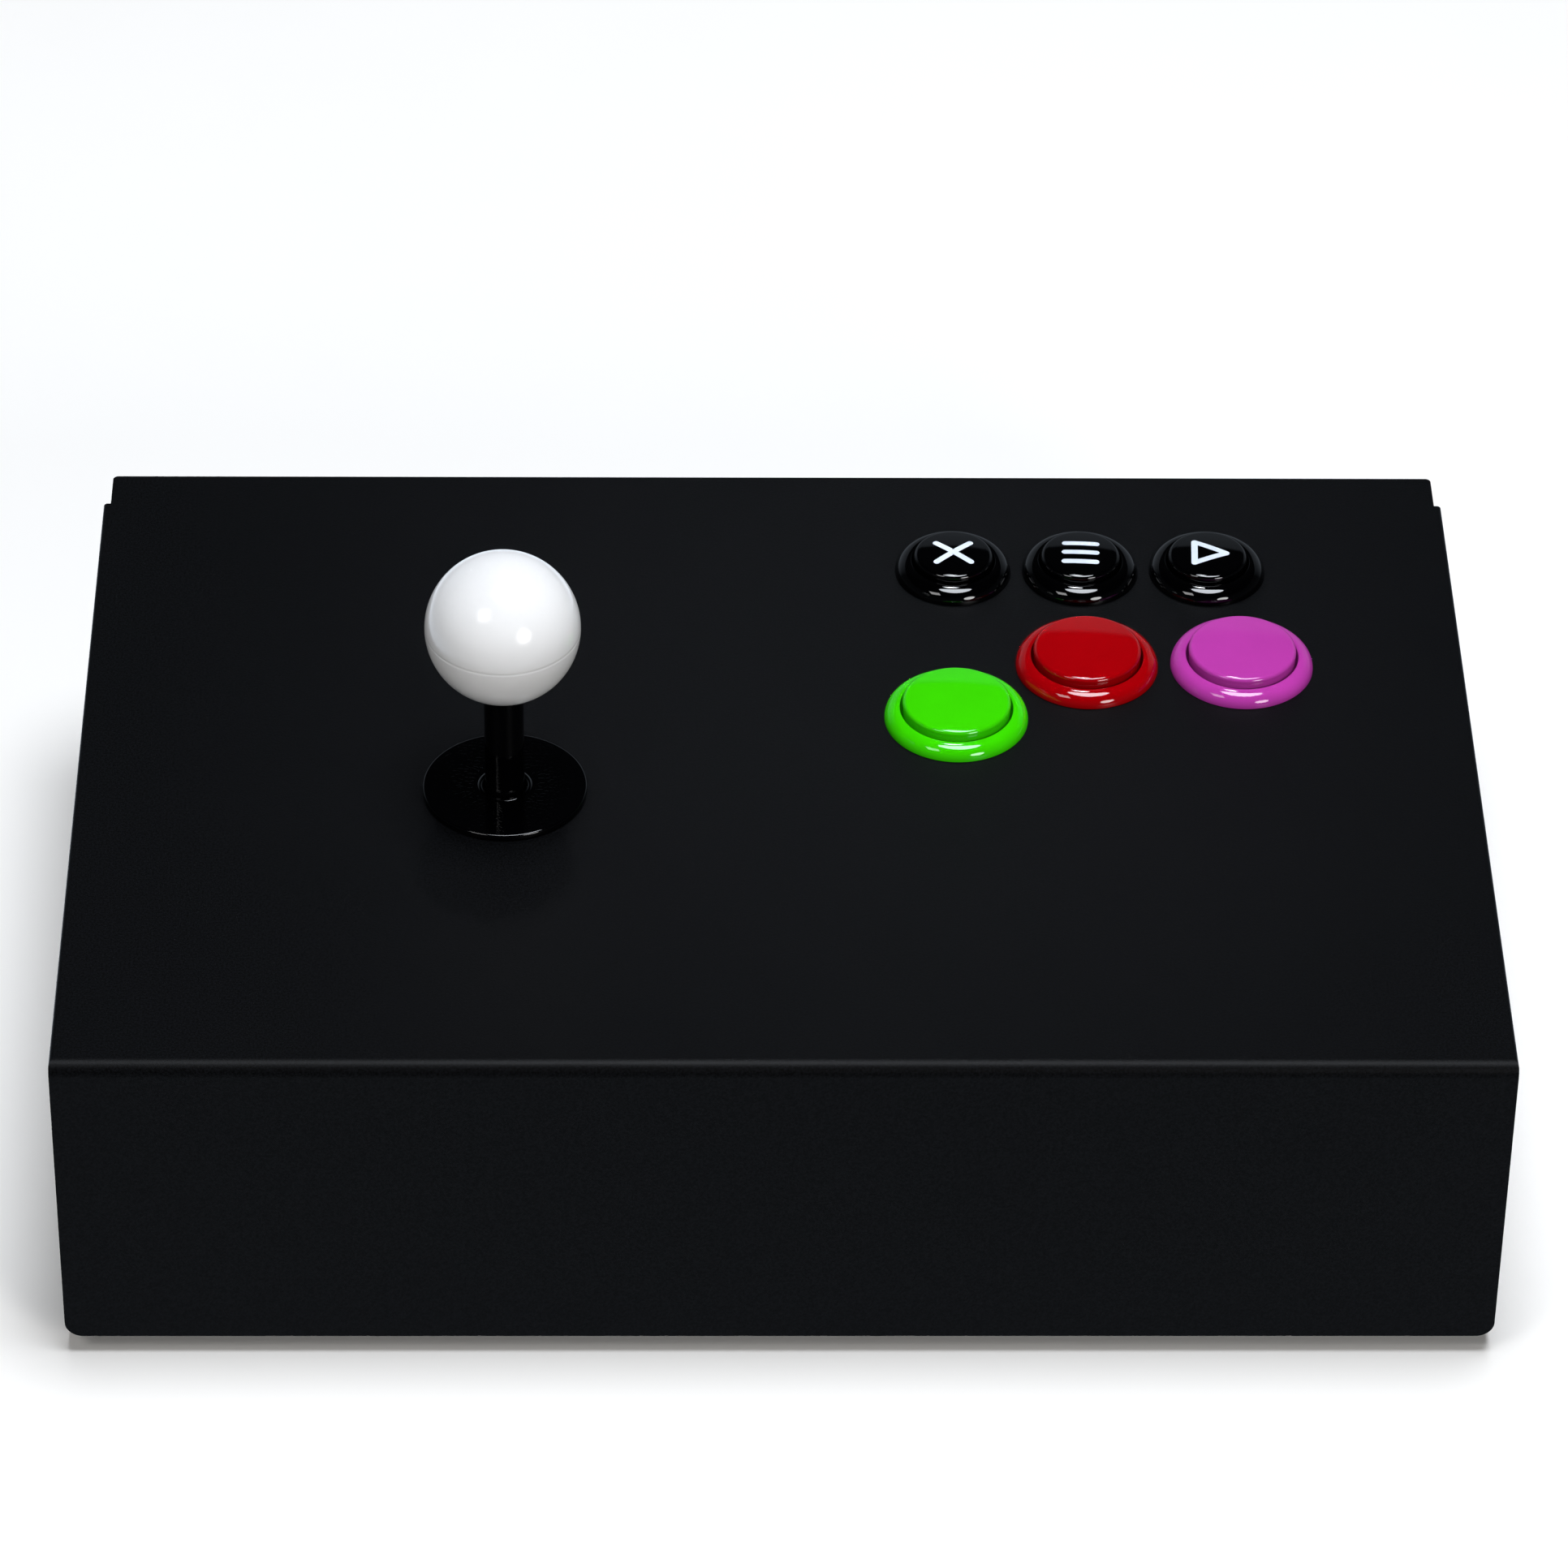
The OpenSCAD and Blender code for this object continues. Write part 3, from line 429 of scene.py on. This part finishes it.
def make_washer():
    """Dust washer: grained top face, smooth rounded rim and a low lip round the hole."""
    low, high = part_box("dust_washer")
    outer = (high.x - low.x) / 2
    thick = 1.3 * MM
    edge = 0.45 * MM
    lip = 0.75 * MM
    bore = 4.9 * MM
    grain_d = 0.012 * MM
    lip_r = bore + lip
    lip_z = thick - lip + 0.2 * MM
    under_z = lip_z - lip
    grained = (lip_r + 1.1 * MM, outer - edge)
    steps = 140
    segments = 960
    profile = arc(lip_r, lip_z, lip, 270, 45, 14)
    profile += [(lip_r + 0.8 * MM, thick)]
    first_grain = len(profile)
    profile += [(grained[0] + (grained[1] - grained[0]) * i / steps, thick) for i in range(steps + 1)]
    last_grain = len(profile) - 1
    profile += arc(outer - edge, thick - edge, edge, 84, 0, 10)
    profile += [(outer, 0.15 * MM), (outer - 0.15 * MM, under_z)]
    verts, faces = lathe(profile, Vector((LEVER.x, LEVER.y, low.z)), segments, closed=True)
    points = np.array([tuple(v) for v in verts])
    ring = np.arange(len(points)) // segments
    inside = (ring > first_grain) & (ring < last_grain)
    x, y = points[:, 0] - LEVER.x, points[:, 1] - LEVER.y
    radius = np.hypot(x, y)
    fade = np.clip((radius - grained[0]) / (0.6 * MM), 0, 1)
    fade *= np.clip((grained[1] - radius) / (0.5 * MM), 0, 1)
    drop = grain_d * (1 - leather_grain(x, y)) * fade
    points[:, 2] -= np.where(inside, drop, 0)
    return stand_for("dust_washer", [tuple(p) for p in points], faces, 40)


# Buttons ---------------------------------------------------------------------------------------

LARGE_BUTTONS = ["green", "red", "magenta"]
SMALL_BUTTONS = ["cross", "menu", "play"]
LARGE_BARREL_R = 14.8 * MM
SMALL_BARREL_R = 11.8 * MM
LARGE_FLANGE_W = 1.0 * MM
SMALL_FLANGE_W = 0.95 * MM
LARGE_CAP_RISE = 0.75 * MM
SMALL_CAP_RISE = -0.05 * MM
FLANGE_GRIP = 0.45 * MM
EDGE_R = 1.0 * MM
CROWN = 0.45 * MM
STEM_R = 2.0 * MM
STEM_HOLE_R = 2.5 * MM
BARREL_FLOOR_Z = -12.4 * MM
BARREL_FLOOR_T = 1.6 * MM
FLANGE_STEP_Z = -3.0 * MM
FLANGE_ROOM = 0.8 * MM
STOP_Z = -8.3 * MM
SHEET_T = 2.0 * MM


def button_sizes(name):
    """Sizes of one button, from its boxes in the frame."""
    rim_low, rim_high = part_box(name + "_housing")
    cap_low, cap_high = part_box(name + "_plunger")
    centre = (cap_low + cap_high) / 2
    centre.z = PANEL_Z
    large = name in LARGE_BUTTONS
    flange_r = (cap_high.x - cap_low.x) / 2
    cap_r = flange_r - (LARGE_FLANGE_W if large else SMALL_FLANGE_W)
    rise = LARGE_CAP_RISE if large else SMALL_CAP_RISE
    return {"centre": centre,
            "rim_r": (rim_high.y - rim_low.y) / 2,
            "rim_h": rim_high.z - PANEL_Z,
            "top": cap_high.z - PANEL_Z + rise,
            "flange_r": flange_r,
            "bore": flange_r - FLANGE_GRIP,
            "cap_r": cap_r,
            "flat_r": cap_r - EDGE_R,
            "barrel_r": LARGE_BARREL_R if large else SMALL_BARREL_R,
            "stem_low": cap_low.z - PANEL_Z}


def make_housing(name):
    """Rim and barrel: a quarter-round rim with a crisp inner edge, snap lugs and switch cradle."""
    s = button_sizes(name)
    lip = 0.3 * MM
    foot = 0.15 * MM
    floor_low = BARREL_FLOOR_Z - BARREL_FLOOR_T
    rim_start = math.degrees(math.asin(foot / s["rim_h"]))
    profile = [(STEM_HOLE_R, floor_low), (s["barrel_r"], floor_low), (s["barrel_r"], 0),
               (s["rim_r"] - foot, 0)]
    profile += arc(s["rim_r"] - s["rim_h"], 0, s["rim_h"], rim_start, 90, 28)
    profile += arc(s["bore"] + lip, s["rim_h"] - lip, lip, 90, 180, 6)
    profile += [(s["bore"], FLANGE_STEP_Z), (s["bore"] + FLANGE_ROOM, FLANGE_STEP_Z),
                (s["bore"] + FLANGE_ROOM, STOP_Z), (s["bore"], STOP_Z),
                (s["bore"], BARREL_FLOOR_Z), (STEM_HOLE_R, BARREL_FLOOR_Z)]
    body = lathe(profile, s["centre"], 192, closed=True)
    right, back, up = Vector((1, 0, 0)), Vector((0, 1, 0)), Vector((0, 0, 1))
    root, tip = s["barrel_r"] - 1 * MM, s["barrel_r"] + 1.5 * MM
    lug_top, lug_low = -SHEET_T - 0.1 * MM, -SHEET_T - 5 * MM
    wedge = [(root, lug_top), (root, lug_low), (s["barrel_r"] - 0.2 * MM, lug_low),
             (tip, lug_top - 0.3 * MM), (tip, lug_top)]
    lugs = [prism(wedge, -3 * MM, 3 * MM, s["centre"], right * side, up, back * -side)
            for side in (1, -1)]
    half_t, half_w = 0.6 * MM, 2.9 * MM
    cradle_x, cradle_h = 7.0 * MM, 6.5 * MM
    post = [(-half_t, -half_w), (half_t, -half_w), (half_t, half_w), (-half_t, half_w)]
    cradle = [prism(post, floor_low - cradle_h, floor_low, s["centre"] + right * (side * cradle_x),
                    right, back, up) for side in (1, -1)]
    verts, faces = join(body, *lugs, *cradle)
    return stand_for(name + "_housing", verts, faces, 40)


def crown_height(s, r):
    """Height of the plunger's domed top at radius r, above the panel."""
    return s["top"] - CROWN * min(r / s["flat_r"], 1.0) ** 2


def make_plunger(name):
    """Domed cap with a soft edge, an undercut flange, a hollow underside and a centre stem."""
    s = button_sizes(name)
    flat_r = s["flat_r"]
    wall, roof = 1.4 * MM, 2.0 * MM
    flange_top = FLANGE_STEP_Z - 0.3 * MM
    flange_low = flange_top - 2.2 * MM
    cap_z = s["top"] - CROWN
    slope = math.degrees(math.atan(2 * CROWN / flat_r))
    profile = [(flat_r * i / 16, crown_height(s, flat_r * i / 16)) for i in range(16)]
    profile += arc(flat_r, cap_z - EDGE_R, EDGE_R, 90 - slope, 0, 14)
    profile += [(s["cap_r"], flange_top), (s["flange_r"], flange_top), (s["flange_r"], flange_low),
                (s["cap_r"] - wall, flange_low), (s["cap_r"] - wall, cap_z - roof),
                (STEM_R, cap_z - roof), (STEM_R, s["stem_low"]), (0, s["stem_low"])]
    verts, faces = lathe(profile[::-1], s["centre"], 192)
    return stand_for(name + "_plunger", verts, faces, 40)


# Marks on the function buttons ---------------------------------------------------------------------

STROKE_W = 1.5 * MM
INK_T = 0.05 * MM


def capsule(start, end, steps=14):
    """A round-ended stroke: its outline as two matching rails."""
    a, b = Vector(start), Vector(end)
    ahead = (b - a).normalized()
    side = Vector((-ahead.y, ahead.x))
    half = STROKE_W / 2
    left, right = [], []
    for i in range(7):
        t = math.radians(90 * i / 6)
        left.append(a - ahead * (half * math.cos(t)) + side * (half * math.sin(t)))
        right.append(a - ahead * (half * math.cos(t)) - side * (half * math.sin(t)))
    for i in range(1, steps):
        p = a.lerp(b, i / steps)
        left.append(p + side * half)
        right.append(p - side * half)
    for i in range(7):
        t = math.radians(90 - 90 * i / 6)
        left.append(b + ahead * (half * math.cos(t)) + side * (half * math.sin(t)))
        right.append(b + ahead * (half * math.cos(t)) - side * (half * math.sin(t)))
    return left, right


def ink_strip(name, left, right, closed=False):
    """A thin layer of ink between two rails, lying on the button's dome."""
    s = button_sizes(name)
    n = len(left)
    verts = []
    for lift in (INK_T, -INK_T):
        for p in left + right:
            z = crown_height(s, p.length) + lift
            verts.append((s["centre"].x + p.x, s["centre"].y + p.y, s["centre"].z + z))
    faces = []
    last = n if closed else n - 1
    for i in range(last):
        j = (i + 1) % n
        faces.append((n + i, n + j, j, i))
        faces.append((2 * n + i, 2 * n + j, 3 * n + j, 3 * n + i))
        faces.append((i, j, 2 * n + j, 2 * n + i))
        faces.append((n + j, n + i, 3 * n + i, 3 * n + j))
    return verts, faces


def finish_mark(name, parts):
    verts, faces = join(*parts)
    obj = make_object(name + "_mark", verts, faces, MARK_INK, 60)
    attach(obj, name + "_button")
    return obj


def make_cross_mark():
    """Two crossed strokes: a square in the middle and four arms that start on its sides."""
    reach = Vector((4.02, 3.64)) * MM
    half = STROKE_W / 2
    strips = []
    for sx, sy in ((1, 1), (-1, 1), (-1, -1), (1, -1)):
        end = Vector((sx * reach.x, sy * reach.y))
        left, right = capsule(end.normalized() * half, end)
        strips.append(ink_strip("cross", left[6:], right[6:]))
    to_right = Vector((reach.x, reach.y)).normalized() * half
    to_left = Vector((-reach.x, reach.y)).normalized() * half
    strips.append(ink_strip("cross", [to_left - to_right, to_right + to_left],
                            [-to_right - to_left, to_right - to_left]))
    return finish_mark("cross", strips)


def make_menu_mark():
    """Three equal bars."""
    half_l, pitch = 3.7 * MM, 3.5 * MM
    turn = Matrix.Rotation(math.radians(-3), 2)
    strips = []
    for row in (-1, 0, 1):
        a = turn @ Vector((-half_l, row * pitch))
        b = turn @ Vector((half_l, row * pitch))
        strips.append(ink_strip("menu", *capsule(a, b, steps=16)))
    return finish_mark("menu", strips)


def rounded_corner(corner, before, after, half, steps=8):
    """Rails round one corner of a closed outline: an arc outside and a sharp point inside."""
    out_a = (corner - before).normalized()
    out_a = Vector((out_a.y, -out_a.x))
    out_b = (after - corner).normalized()
    out_b = Vector((out_b.y, -out_b.x))
    bisect = (out_a + out_b).normalized()
    inside = corner - bisect * (half / bisect.dot(out_a))
    outer = [corner + out_a.slerp(out_b, k / steps) * half for k in range(steps + 1)]
    return outer, [inside.copy() for _ in outer]


def make_play_mark():
    """A triangle outline that points to the right, with round corners."""
    turn = Matrix.Rotation(math.radians(-2.7), 2)
    corners = [turn @ (Vector(at) * MM) for at in ((-3.1, 4.0), (-3.1, -4.0), (4.4, 0.0))]
    half = STROKE_W / 2
    bends = [rounded_corner(corners[i], corners[i - 1], corners[(i + 1) % 3], half) for i in range(3)]
    outer, inner = [], []
    for i, (bend_outer, bend_inner) in enumerate(bends):
        next_outer, next_inner = bends[(i + 1) % 3]
        outer += bend_outer
        inner += bend_inner
        for k in range(1, 10):
            outer.append(bend_outer[-1].lerp(next_outer[0], k / 10))
            inner.append(bend_inner[-1].lerp(next_inner[0], k / 10))
    return finish_mark("play", [ink_strip("play", inner, outer, closed=True)])


# Screws, feet and springs ----------------------------------------------------------------------------


def screw_with_socket(face, out, head_r, head_h, shank_r, length, key_r, key_d, pan=False):
    """A screw with a hexagon socket. face is the middle of the head's outer face."""
    out = Vector(out).normalized()
    across = out.orthogonal().normalized()
    along = out.cross(across)
    sides = 48
    broken, point = 0.12 * MM, 0.3 * MM
    profile = [(key_r, -key_d), (key_r, 0.0), (head_r - broken, 0.0), (head_r, -broken)]
    profile += [(head_r, -head_h), (shank_r, -head_h)] if pan else [(shank_r, -head_h)]
    profile += [(shank_r, -length + point), (shank_r - point, -length)]
    verts, faces, loops = [], [], []
    for row, (ring_r, z) in enumerate(profile):
        for k in range(sides):
            a = 2 * math.pi * k / sides
            r = ring_r
            if row < 2:
                r *= math.cos(math.radians(30)) / math.cos((a % math.radians(60)) - math.radians(30))
            verts.append(face + across * (r * math.cos(a)) + along * (r * math.sin(a)) + out * z)
        loops.append(list(range(row * sides, (row + 1) * sides)))
    for one, two in zip(loops, loops[1:]):
        for k in range(sides):
            j = (k + 1) % sides
            faces.append((one[k], one[j], two[j], two[k])[::-1])
    faces.append(tuple(loops[0]))
    faces.append(tuple(loops[-1][::-1]))
    return verts, faces


def make_side_screws():
    low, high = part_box("cover_screws")
    head_r, length = 3.0 * MM, 9.0 * MM
    z = (low.z + high.z) / 2
    parts = []
    for x, out in ((low.x, -1), (high.x, 1)):
        for y in (low.y + head_r, high.y - head_r):
            parts.append(screw_with_socket(Vector((x, y, z)), (out, 0, 0), head_r, 1.5 * MM,
                                           1.5 * MM, length, 1.1 * MM, 0.9 * MM))
    verts, faces = join(*parts)
    return stand_for("cover_screws", verts, faces, 30)


def make_usb_screws():
    low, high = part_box("usb_screws")
    head_r = (high.z - low.z) / 2
    z = (low.z + high.z) / 2
    parts = [screw_with_socket(Vector((x, high.y, z)), (0, 1, 0), head_r, 1.15 * MM, 1.25 * MM,
                               high.y - low.y, 0.85 * MM, 0.7 * MM)
             for x in (low.x + head_r, high.x - head_r)]
    verts, faces = join(*parts)
    return stand_for("usb_screws", verts, faces, 30)


def make_foot_screws():
    low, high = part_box("foot_screws")
    head_r = 4.0 * MM
    parts = [screw_with_socket(Vector((x, y, low.z)), (0, 0, -1), head_r, 1.8 * MM, 2.0 * MM,
                               high.z - low.z, 1.5 * MM, 1.2 * MM, pan=True)
             for x in (low.x + head_r, high.x - head_r) for y in (low.y + head_r, high.y - head_r)]
    verts, faces = join(*parts)
    return stand_for("foot_screws", verts, faces, 30)


def make_feet():
    """Rubber feet with a rounded tread edge, a shallow groove round the side and a screw pocket."""
    low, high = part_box("rubber_feet")
    top_r = 11.0 * MM
    tread_r = top_r - 1.0 * MM
    h = high.z - low.z
    edge = 0.8 * MM
    pocket_r, pocket_z, hole_r = 4.5 * MM, 3.0 * MM, 2.1 * MM
    profile = [(hole_r, h), (hole_r, pocket_z), (pocket_r, pocket_z), (pocket_r, 0.3 * MM),
               (pocket_r + 0.3 * MM, 0), (tread_r - edge, 0)]
    profile += arc(tread_r - edge, edge, edge, -90, -10, 8)[1:]
    profile += [(top_r - 0.35 * MM, h - 1.2 * MM), (top_r - 0.2 * MM, h - 0.5 * MM),
                (top_r - 0.25 * MM, h)]
    parts = [lathe(profile, Vector((x, y, low.z)), 72, closed=True)
             for x in (low.x + top_r, high.x - top_r) for y in (low.y + top_r, high.y - top_r)]
    verts, faces = join(*parts)
    return stand_for("rubber_feet", verts, faces, 50)


def make_spring(node, turns, wire_r, centre, room=0.0, rides=True):
    """A round-wire compression spring in place of the CAD coil, with room above it to tilt in."""
    low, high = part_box(node)
    radius = (high.x - low.x) / 2 - wire_r
    rise = high.z - low.z - 2 * wire_r - room
    steps = int(40 * turns)
    points = []
    for i in range(steps + 1):
        a = 2 * math.pi * turns * i / steps
        points.append((centre.x + radius * math.cos(a), centre.y + radius * math.sin(a),
                       low.z + wire_r + rise * i / steps))
    verts, faces = tube_along(points, wire_r, 10)
    return stand_for(node, verts, faces, 50, rides)


def make_button_spring(button):
    """The return spring: its foot stays in the housing, and the whole coil stays there when the plunger
    goes down.
    """
    node = button + "_spring"
    piece = make_spring(node, 5, 0.35 * MM, node_centre(button + "_plunger"), rides=False)
    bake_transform(piece)


make_ball()
make_tube()
make_washer()
for button in LARGE_BUTTONS + SMALL_BUTTONS:
    make_housing(button)
    make_plunger(button)
    make_button_spring(button)
make_spring("lever_spring", 3.5, 0.6 * MM, LEVER, room=2.4 * MM)
make_cross_mark()
make_menu_mark()
make_play_mark()
make_side_screws()
make_usb_screws()
make_foot_screws()
make_feet()

# Studio ------------------------------------------------------------------------------------------

CAMERA_AT = Vector((-0.0294, -1.3100, 1.1242))
CAMERA_YAW = math.radians(1.343)
CAMERA_DOWN = math.radians(38.637)
CAMERA_ROLL = math.radians(0.915)
LENS_MM = 167.8
SENSOR_MM = 36.0
WALL_TOP_DEG = 33.0
COOL = (0.93, 0.98, 1.05)
KEY_TARGET = Vector((0.025, 0.050, PANEL_Z))


def camera_axes():
    """Right, up and forward of the camera."""
    forward = Vector((math.sin(CAMERA_YAW) * math.cos(CAMERA_DOWN),
                      math.cos(CAMERA_YAW) * math.cos(CAMERA_DOWN), -math.sin(CAMERA_DOWN)))
    level = Vector((math.cos(CAMERA_YAW), -math.sin(CAMERA_YAW), 0))
    above = level.cross(forward)
    right = level * math.cos(CAMERA_ROLL) + above * math.sin(CAMERA_ROLL)
    up = above * math.cos(CAMERA_ROLL) - level * math.sin(CAMERA_ROLL)
    return right, up, forward


def make_camera():
    data = bpy.data.cameras.new("camera")
    data.lens = LENS_MM
    data.sensor_width = SENSOR_MM
    data.clip_start = 0.05
    obj = bpy.data.objects.new("camera", data)
    bpy.context.scene.collection.objects.link(obj)
    right, up, forward = camera_axes()
    turn = Matrix((right, up, -forward)).transposed().to_4x4()
    obj.matrix_world = Matrix.Translation(CAMERA_AT) @ turn
    bpy.context.scene.camera = obj


def aim(obj, target, roll_deg=0.0):
    """Turns a lamp's face to a target, rolled about its own axis."""
    turn = (Vector(target) - obj.location).to_track_quat("-Z", "Y")
    obj.rotation_euler = (turn.to_matrix() @ Matrix.Rotation(math.radians(roll_deg), 3, "Z")).to_euler()


def make_lamp(name, toward, distance, width_deg, radiance, shape="DISK", tint=(1, 1, 1),
              roll_deg=0.0):
    """A flat lamp seen from the ball in a given direction, width_deg wide, of a given radiance."""
    data = bpy.data.lights.new(name, "AREA")
    data.shape = shape
    width = 2 * distance * math.tan(math.radians(width_deg / 2))
    data.size = width
    area = width * width if shape == "SQUARE" else math.pi * width * width / 4
    data.energy = radiance * math.pi * area
    data.color = tint
    obj = bpy.data.objects.new(name, data)
    obj.location = BALL_CENTRE + Vector(toward).normalized() * distance
    aim(obj, BALL_CENTRE, roll_deg)
    bpy.context.scene.collection.objects.link(obj)
    return obj


def narrow_beam(lamp, target, beam_deg):
    """Louvres on a lamp: it fades within beam_deg of its axis and keeps its brightness on it."""
    half = math.radians(beam_deg / 2)
    aim(lamp, target)
    lamp.data.spread = 2 * half
    lamp.data.energy *= 1 - half / math.tan(half)


def make_floor():
    """Pale floor that lights the case from below but isn't mirrored in it."""
    half = 6.0
    paint = floor_paint("floor_paint", (0.94, 0.91, 0.87))
    corners = [(-half, -half, 0), (half, -half, 0), (half, half, 0), (-half, half, 0)]
    obj = make_object("floor", corners, [(0, 1, 2, 3)], paint)
    obj.visible_glossy = False


def make_world():
    """A dark room with a pale wall behind the deck and a glow below the horizon.

    The glow is stronger at the sides and the rear than in front."""
    world = bpy.data.worlds.new("studio")
    world.use_nodes = True
    tree = world.node_tree
    links = tree.links
    coords = tree.nodes.new("ShaderNodeTexCoord")
    split = tree.nodes.new("ShaderNodeSeparateXYZ")
    links.new(coords.outputs["Generated"], split.inputs[0])
    back, up = split.outputs["Y"], split.outputs["Z"]
    ramp = tree.nodes.new("ShaderNodeValToRGB")
    links.new(map_range(tree, up, -1, 1, 0, 1), ramp.inputs["Fac"])
    fill_room(ramp.color_ramp)
    ground = tree.nodes.new("ShaderNodeMath")
    ground.operation = "MULTIPLY"
    links.new(map_range(tree, up, 0, -0.3, 0, 1.2), ground.inputs[0])
    links.new(map_range(tree, back, -0.35, 0, 1, 2.6), ground.inputs[1])
    level = tree.nodes.new("ShaderNodeMath")
    level.operation = "MAXIMUM"
    links.new(map_range(tree, back, 0.45, 0.80, 0.08, 1), level.inputs[0])
    links.new(ground.outputs["Value"], level.inputs[1])
    product = tree.nodes.new("ShaderNodeVectorMath")
    product.operation = "SCALE"
    links.new(ramp.outputs["Color"], product.inputs[0])
    links.new(level.outputs["Value"], product.inputs["Scale"])
    links.new(product.outputs["Vector"], tree.nodes["Background"].inputs["Color"])
    bpy.context.scene.world = world


def fill_room(ramp):
    """Brightness of the room from straight down (0) through the horizon (0.5) to straight up (1)."""
    wall_top = 0.5 + 0.5 * math.sin(math.radians(WALL_TOP_DEG))
    ramp.elements[0].position = 0.0
    ramp.elements[0].color = (0.5, 0.56, 0.64, 1)
    ramp.elements[1].position = 1.0
    ramp.elements[1].color = (0.01, 0.01, 0.011, 1)
    for position, shade in ((0.30, 0.45), (0.47, 0.02), (0.5, 0.36), (wall_top - 0.004, 0.18),
                            (wall_top + 0.004, 0.008)):
        element = ramp.elements.new(position)
        element.color = (shade * 0.88, shade, shade * 1.15, 1)


make_camera()
make_floor()
make_world()
make_lamp("overhead_octagon", (0.10, -0.015, 0.995), 2.2, 32, 15.0, tint=COOL)
make_lamp("left_box", (-0.443, -0.499, 0.744), 1.9, 17, 6.0, "SQUARE", roll_deg=30)
make_lamp("right_dish", (0.533, -0.778, 0.332), 1.9, 20, 12.0)
rear_key = make_lamp("rear_key", (0.070, 0.516, 0.854), 1.6, 8.5, 140.0, tint=COOL)
narrow_beam(rear_key, KEY_TARGET, 7)

bpy.context.scene.view_settings.view_transform = "Standard"
